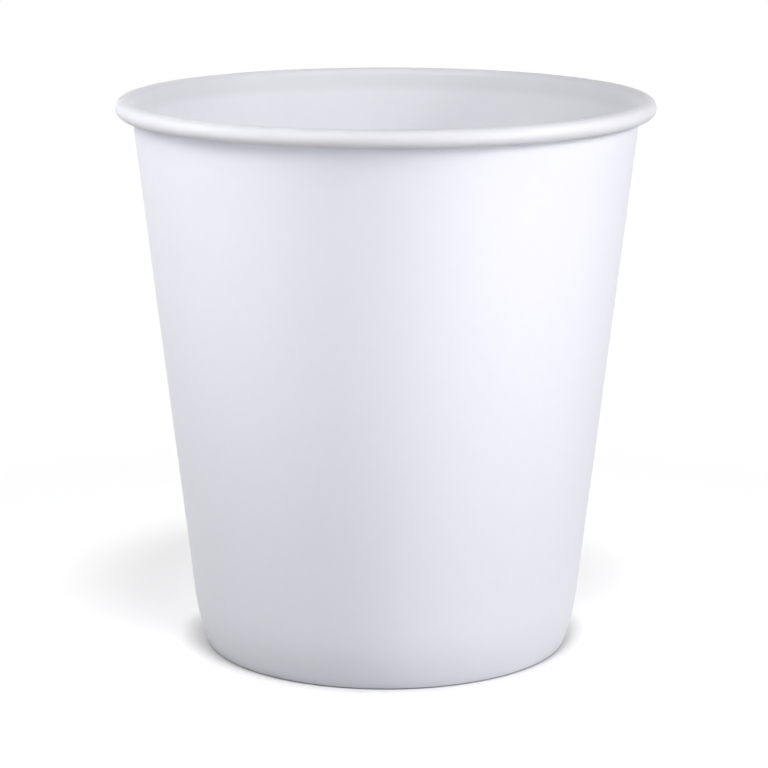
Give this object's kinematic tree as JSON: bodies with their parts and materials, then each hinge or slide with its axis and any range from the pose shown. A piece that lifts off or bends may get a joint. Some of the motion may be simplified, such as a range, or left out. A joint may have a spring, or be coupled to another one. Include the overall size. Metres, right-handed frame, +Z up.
{
  "type": "paper sundae cup",
  "caption": "Plain paper sundae cup: a lapped board side wall, rolled outwards at the rim and folded up inside the foot round a raised base. Holds a cold dessert or a drink.",
  "frame": {"origin": "centre of the standing ring, on the surface that the cup stands on", "axes": "+Z up along the cup's axis, towards the open rim; the side seam's inner cut edge lies 162 degrees round from +X towards +Y"},
  "size_m": [0.09, 0.09, 0.0935],
  "materials": {
    "wall_board": "satin",
    "base_board": "satin"
  },
  "bodies": {
    "root": {"side_wall": "wall_board", "base_disc": "base_board"}
  },
  "joints": []
}
